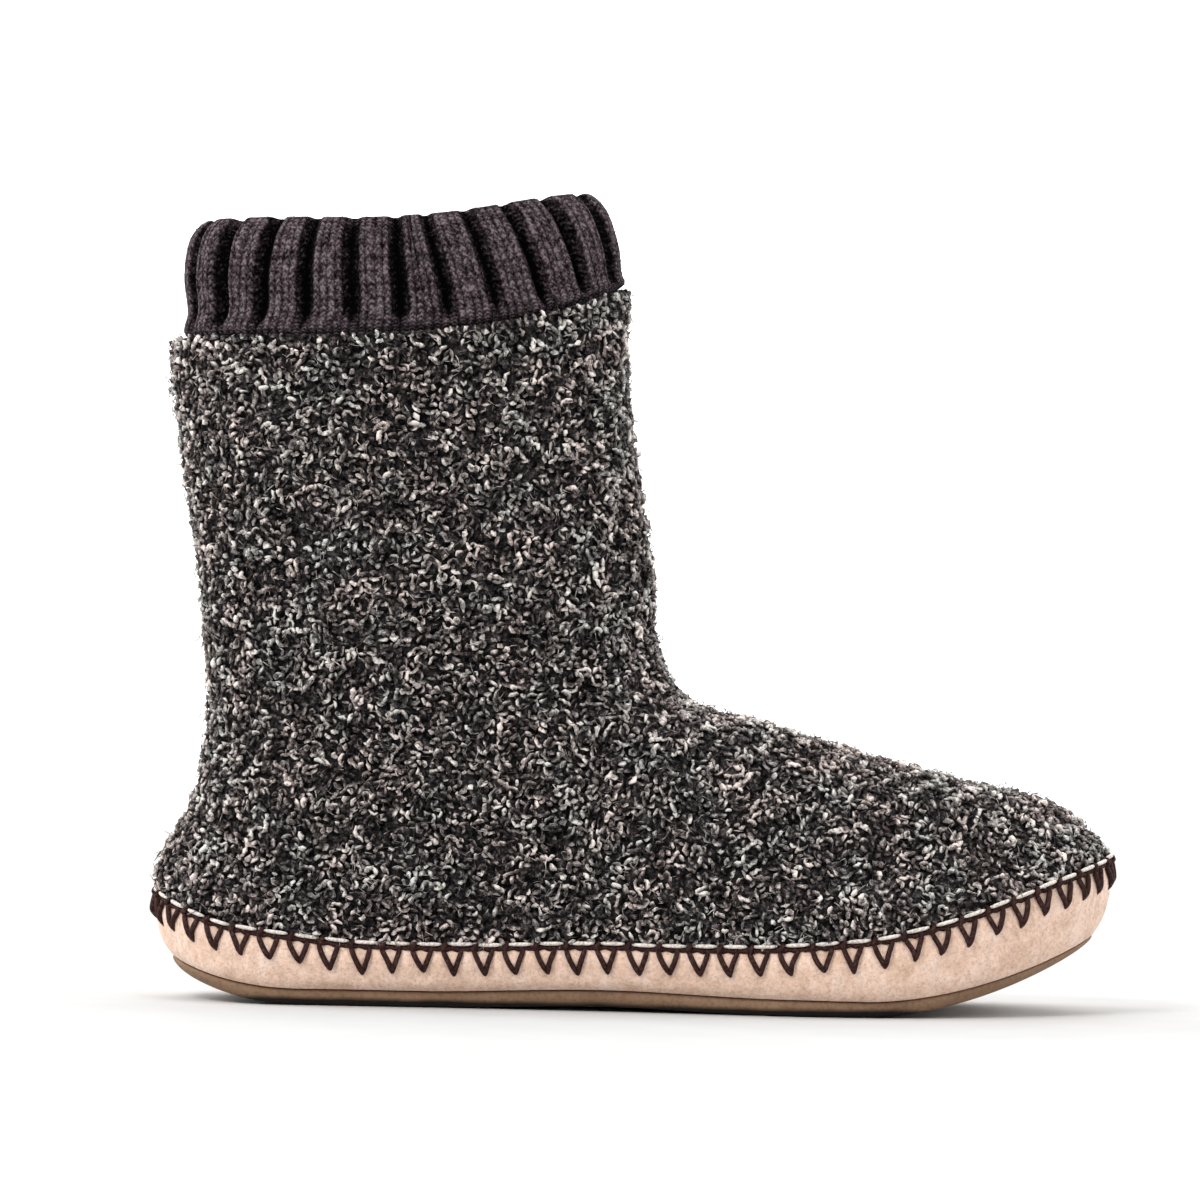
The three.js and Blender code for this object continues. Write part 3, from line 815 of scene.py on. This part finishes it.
order = np.argsort(curl_turn)
for number, part in enumerate(np.array_split(order, curl_pieces)):
    yarn_mesh(f"yarn_curls_{number}", middle[part][:, None] + arc[part], curl_thick[part], curl_out[part],
              curl_tone[part], marl)

# Loose fibres of the same marled yarn stand off the curls all over. They are short and fine, and
# blur the knit's outline.
fibre_count = 13000
fibre_pick = chance.integers(0, curl_count, fibre_count)
fibre_out = curl_out[fibre_pick]
fibre_ahead = np.cross(fibre_out, chance.normal(size=(fibre_count, 3)))
fibre_ahead /= np.linalg.norm(fibre_ahead, axis=1)[:, None]
fibre_tilt = chance.uniform(-0.2, 0.9, fibre_count)[:, None]
fibre_way = fibre_ahead * np.cos(fibre_tilt) + fibre_out * np.sin(fibre_tilt)
fibre_start = middle[fibre_pick] + chance.normal(0, 0.5, (fibre_count, 3))
fibre_start = fibre_start + fibre_out * chance.uniform(0.1, 0.6, (fibre_count, 1))
fibre_length = chance.uniform(1.2, 3.4, fibre_count)[:, None]
fibre_bow = np.cross(fibre_way, fibre_out) * chance.normal(0, 0.5, (fibre_count, 1)) - fibre_out * 0.35
fibre_steps = np.linspace(0, 1, 3)
fibres = fibre_start[:, None] + (fibre_way * fibre_length)[:, None] * fibre_steps[:, None]
fibres = fibres + fibre_bow[:, None] * (fibre_steps**2)[:, None]
fibre_thick = chance.uniform(0.09, 0.19, fibre_count)[:, None] * (1 - 0.5 * fibre_steps)[None]
fibre_tone = chance.uniform(0.15, 0.65, fibre_count)
yarn_mesh("loose_fibres", fibres, fibre_thick, fibre_out, fibre_tone, marl)

# The cuff is a thick rib knit, doubled over at its top and sewn inside the shaft's edge. Each rib
# is a few wales of chained stitches, with a deep groove of purl stitches between ribs.
rib_count = 24
rib_depth = 3.4
cuff_wall = 3.8
cuff_lap = 9.0
cuff_clearance = 0.45
wales_per_rib = 6
course = 1.55
columns_per_rib = 18
cuff_columns = rib_count * columns_per_rib
rib_turns = even_angles(top_edge + 2, cuff_columns)
rib_place = np.arange(cuff_columns) / cuff_columns * rib_count
rib_phase = np.mod(rib_place + 0.5, 1) - 0.5
rib_number = np.floor(rib_place + 0.5).astype(int) % rib_count
groove_deep = chance.uniform(0.85, 1.15, rib_count)[rib_number]
groove_wide = chance.uniform(0.12, 0.18, rib_count)[rib_number]
rib_proud = chance.uniform(-0.35, 0.35, rib_count)
rib_middles = np.arange(rib_count + 1) + 0.5
rib_proud = np.interp(rib_place, rib_middles, np.append(rib_proud, rib_proud[0]), period=rib_count)
groove_form = np.exp(-np.abs(rib_phase / groove_wide) ** 2.6) * groove_deep
rim_dip = 2.6
dip_from_heel = 72
dip_half = 34


def cuff_ring(level, offset, ribbed):
    """One ring of the cuff: its ribs draw together towards the top, and its rim dips at the side."""
    up = float(ease(top_edge, cuff_top, level))
    drawn = np.where(np.cos(rib_turns) < 0, 0.12, 0.07) * np.sin(2 * rib_turns) * up
    drawn = drawn + 0.012 * np.sin(rib_number * 2.4) * up
    crown = 0.5 * np.cos(np.pi * rib_phase) ** 2 - 0.5
    place = offset - rib_depth * ribbed * groove_form + (crown + rib_proud) * ribbed
    points = skin(level, rib_turns + drawn, place)
    dip = rim_dip * np.exp(-(((points[:, 0] - dip_from_heel) / dip_half) ** 2)) + 0.9 * groove_form * ribbed
    points[:, 2] -= dip * up**3
    return points


inside = -knit_wall - cuff_clearance
level_height = read["back_z"](top_edge) - read["back_z"](top_edge - 1)
lap_foot = top_edge - cuff_lap / level_height
rim = cuff_top - 0.02
# Each row is a level, an offset from the boot's form and the share of the ribs' depth there.
profile = [
    (lap_foot, inside - 0.5, 0.0),
    (top_edge - 0.1, inside - 0.45, 0.0),
    (top_edge + 0.14, inside + 0.25, 0.0),
    (top_edge + 0.35, -1.5, 0.15),
    (top_edge + 0.6, -0.6, 0.5),
    (top_edge + 1, -0.25, 1.0),
    (top_edge + 2, -0.1, 1.05),
    (top_edge + 3, -0.1, 1.0),
    (top_edge + 3.6, -0.45, 0.85),
    (top_edge + 3.9, -1.2, 0.65),
    (rim, -cuff_wall * 0.6, 0.45),
    (rim, -cuff_wall * 0.9, 0.2),
    (top_edge + 3.7, -cuff_wall - 1.2, 0.1),
    (top_edge + 3.2, -cuff_wall - 1.9, 0.0),
    (top_edge + 2, -cuff_wall - 2.1, 0.0),
    (top_edge + 0.6, -cuff_wall - 2.1, 0.0),
    (top_edge, inside - cuff_wall, 0.0),
    (lap_foot, inside - cuff_wall, 0.0),
]
rolled_in = 11
ring_step = 0.75
lining_rings = 18
mm_per_level = 8.5
profile = np.array(profile)
profile_steps = np.hypot(np.diff(profile[:, 0]) * mm_per_level, np.diff(profile[:, 1]))
stops = np.concatenate([[0], np.cumsum(profile_steps)])
reading = [curve(stops, profile[:, k]) for k in range(3)]
outside_stops = np.arange(stops[1], stops[rolled_in], ring_step)
lining_stops = np.linspace(stops[rolled_in], stops[-1], lining_rings)
cuff_stops = np.concatenate([[0], outside_stops, lining_stops])
cuff_rings = []
knit_places = []
for stop in cuff_stops:
    level, offset, ribbed = (float(column(stop)) for column in reading)
    cuff_rings.append(cuff_ring(min(level, rim), offset, ribbed))
    courses = np.full(cuff_columns, stop / course)
    # The stitches' third value marks the grooves, where the wool is painted darker as shade.
    groove_shade_share = np.clip(groove_form * ribbed, 0, 1)
    knit_places.append(np.stack([rib_place * wales_per_rib, courses, groove_shade_share], axis=1))

wool = Finish("rib_knit", Roughness=0.95, Specular_IOR_Level=0.04)
wool_place = wool.node("ShaderNodeAttribute", {"attribute_name": "stitches"}, {}, output="Vector")
wool_fibre = wool.noise(1500, 3, 0.7)
wool_patch = wool.noise(420, 3, 0.65)
wale = wool.node("ShaderNodeSeparateXYZ", {}, {"Vector": wool_place}, output="X") + (wool_patch - 0.5) * 0.5
row = wool.node("ShaderNodeSeparateXYZ", {}, {"Vector": wool_place}, output="Y")
groove_shade = wool.node("ShaderNodeSeparateXYZ", {}, {"Vector": wool_place}, output="Z")
beside = wale.maths("FRACT", wale) - 0.5
slant = beside.maths("ABSOLUTE", beside) * 1.3
chain = wale.maths("SINE", wale * math.pi)
chain = chain.maths("ABSOLUTE", chain) ** 0.7
loop = row.maths("COSINE", (row + slant) * (2 * math.pi)) * 0.5 + 0.5
stitch = chain * (loop * 0.6 + 0.4)
# The grooves between ribs are painted darker: painted shade in the recesses.
wool_amount = stitch * 0.5 + (wool_fibre - 0.5) * 1.7 + (wool_patch - 0.5) * 1.4 + 0.25 - groove_shade * 0.75
wool_colour = wool.ramp(
    wool_amount,
    (0.02, (0.0006, 0.0004, 0.0005)),
    (0.3, (0.02, 0.014, 0.0165)),
    (0.6, (0.075, 0.057, 0.064)),
    (0.9, (0.2, 0.16, 0.172)),
)
wool.set("Base Color", wool_colour)
wool.relief(stitch + wool_fibre * 0.6, 0.9, 0.0006)
cuff = rings_mesh("rib_cuff", cuff_rings, "wall", wool, "cuff")
keep(cuff, "stitches", "FLOAT_VECTOR", "vector", np.concatenate(knit_places))

# The cuff's wool has a fine nap: single short fibres, as dark as the knit, that stand off its
# outside and are denser towards the rim.
fuzz_count = 2000
outer_rings = np.array(cuff_rings[3:-20])
fuzz_ring = (chance.random(fuzz_count) ** 0.7 * len(outer_rings)).astype(int)
fuzz_column = chance.integers(0, cuff_columns, fuzz_count)
fuzz_foot = outer_rings[fuzz_ring, fuzz_column]
fuzz_out = fuzz_foot - outer_rings[fuzz_ring].mean(axis=1)
fuzz_out[:, 2] = 6.0 * (fuzz_ring / len(outer_rings)) ** 3
fuzz_out /= np.linalg.norm(fuzz_out, axis=1)[:, None]
fuzz_way = fuzz_out * 0.5 + chance.normal(0, 0.55, (fuzz_count, 3))
fuzz_length = chance.uniform(0.8, 2.0, fuzz_count)[:, None, None]
fuzz_steps = np.linspace(0, 1, 3)[:, None]
fuzz = fuzz_foot[:, None] + fuzz_way[:, None] * fuzz_steps * fuzz_length
fuzz = fuzz + np.cross(fuzz_way, fuzz_out)[:, None] * fuzz_steps**2 * 0.7
fuzz_thick = chance.uniform(0.05, 0.1, fuzz_count)[:, None] * (1 - 0.5 * fuzz_steps.T)
yarn_mesh("cuff_fuzz", fuzz, fuzz_thick, fuzz_out, np.full(fuzz_count, 0.5), wool)

# The whipstitch is a dark brown waxed yarn. Each stitch comes out of the suede at the tip of a V,
# runs up over the suede's edge on both sides, and hides the raw edge under a dark cord of thread.
stitch_yarn_sides = 8


def as_share(length):
    """A length along the seam, as a share of the whole seam."""
    return length / seam_length


def tube(name, paths, radius, finish):
    """Round yarns along paths of one length each, (n, steps, 3), with tapered ends."""
    paths = np.asarray(paths, float)
    rings = paths.shape[1]
    away = paths - np.array([boot_length / 2, 0, 30.0])
    away[..., 0] *= 0.3
    end = np.minimum(1, 0.55 + 2.2 * np.minimum(np.linspace(0, 1, rings), np.linspace(1, 0, rings)))
    points, faces = round_yarns(paths, away, (radius * end)[None], stitch_yarn_sides)
    piece = new_piece(name, points.reshape(-1, 3), faces, finish)
    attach(piece, "root")


def on_wrap(share, down, out):
    """Points on the suede's side, `down` mm below its top edge and `out` mm off its surface."""
    share, down, out = np.broadcast_arrays(share, down, out)
    place = np.stack([around(fine_seam[:, k], share) for k in range(3)], axis=-1)
    along = along_boot(place[..., 0])
    wall = seam_height(along) - tray_bottom(along)
    up = np.clip(1 - down / wall, 0, 1)
    drawn = pucker(share, up)
    direction = np.stack([around(fine_out[:, k], share) for k in range(3)], axis=-1)
    result = place + direction * (drawn + out - band_tuck * tuck_share(up))[..., None]
    result[..., 2] = seam_height(along_boot(result[..., 0])) - down
    return result


yarn = Finish("brown_waxed_yarn", Roughness=0.65, Specular_IOR_Level=0.12)
yarn_ply = yarn.noise(1400, 3, 0.6)
yarn_colour = yarn.ramp(
    yarn_ply,
    (0.3, (0.01, 0.003, 0.0025)),
    (0.52, (0.034, 0.013, 0.011)),
    (0.72, (0.09, 0.045, 0.038)),
)
yarn.set("Base Color", yarn_colour)
yarn.relief(yarn_ply, 0.8, 0.0003)

yarn_radius = 0.76
arm_steps = np.linspace(0, 1, 12)
left_reach = as_share(3.6)
right_reach = as_share(2.3)
sway = as_share(chance.normal(0, 0.3, stitch_count))
depth_sway = chance.normal(0, 0.35, stitch_count) - 0.5 * (np.cos(2 * np.pi * tip_share) > 0.75)


def arm(reach, top_out):
    """One arm of every V: out of the suede at the tip, up its face and over its top edge."""
    start = tip_share[:, None] + sway[:, None]
    bow = as_share(chance.normal(0, 0.28, (stitch_count, 1))) * np.sin(np.pi * arm_steps)[None]
    share = start + reach * (ease(-0.3, 1.3, arm_steps) - ease(-0.3, 1.3, 0.0))[None] * 1.15 + bow
    down = (stitch_depth + depth_sway[:, None]) * (1 - arm_steps[None] * 1.06)
    out = np.interp(arm_steps, (0, 0.08, 0.25, 0.8, 0.93, 1), (-0.7, 0.3, 0.75, 0.8, top_out, top_out - 0.8))
    return on_wrap(share, np.maximum(down, -0.3), out[None])


whip = np.concatenate([arm(-left_reach, 0.9), arm(right_reach, 0.6)])
tube("whipstitch", whip, yarn_radius, yarn)

# A cord of the same brown yarn lies along the suede's raw edge, and every whipstitch crosses it
# once, slanting over the edge into the knit.
edge_count = 900
edge_share = np.linspace(0, 1, edge_count, endpoint=False)
edge_path = on_wrap(edge_share, -0.25, 0.05)
edge_wave = 0.16 * np.sin(edge_share * 2 * np.pi * stitch_count * 3)
edge_path[:, 2] += edge_wave
edge_turns = np.linspace(0, 2 * np.pi, stitch_yarn_sides, endpoint=False)
edge_out = np.stack([around(fine_out[:, k], edge_share) for k in range(3)], axis=-1)
edge_radius = 0.8 + 0.14 * np.sin(edge_share * 2 * np.pi * stitch_count * 2)
edge_rings = []
for turn in edge_turns:
    outward = edge_out * (np.cos(turn) * edge_radius)[:, None]
    upward = np.array([0, 0, 1]) * (np.sin(turn) * edge_radius)[:, None]
    edge_rings.append(edge_path + outward + upward)
rings_mesh("edge_overcast", edge_rings, "wall", yarn)

cross_steps = np.linspace(0, 1, 8)
crossing_radius = 0.68
cross_share = tip_share[:, None] + as_share(-3.4 + 1.1 * cross_steps[None])
cross_down = np.interp(cross_steps, (0, 1), (0.6, -2.1))[None]
cross_out = np.interp(cross_steps, (0, 0.3, 0.7, 1), (0.9, 1.3, 0.9, -0.9))[None]
tube("edge_crossings", on_wrap(cross_share, cross_down, cross_out), crossing_radius, yarn)

# The running stitch is off-white thread through the knit just above the suede's edge: one short
# dash to every whipstitch.
thread = Finish("off_white_thread", Roughness=0.75, Specular_IOR_Level=0.3, Sheen_Weight=0.2)
thread_ply = thread.noise(1600, 2, 0.5)
thread.set("Base Color", thread.ramp(thread_ply, (0.3, (0.4, 0.34, 0.29)), (0.6, (0.82, 0.76, 0.7))))
thread.relief(thread_ply, 0.6, 0.0002)
dash_steps = np.linspace(0, 1, 9)
dash_length = 6.6
dash_radius = 0.56
dash_centre = tip_share[:, None] + as_share(1.3 + chance.normal(0, 0.2, stitch_count)[:, None])
dash_share = dash_centre + as_share((dash_steps[None] - 0.5) * dash_length)
dash_out = np.interp(dash_steps, (0, 0.15, 0.5, 0.85, 1), (0.3, 0.95, 1.1, 0.95, 0.3))[None]
dash_down = -1.35 + chance.normal(0, 0.12, stitch_count)[:, None] + 0 * dash_share
tube("running_stitch", on_wrap(dash_share, dash_down, dash_out), dash_radius, thread)
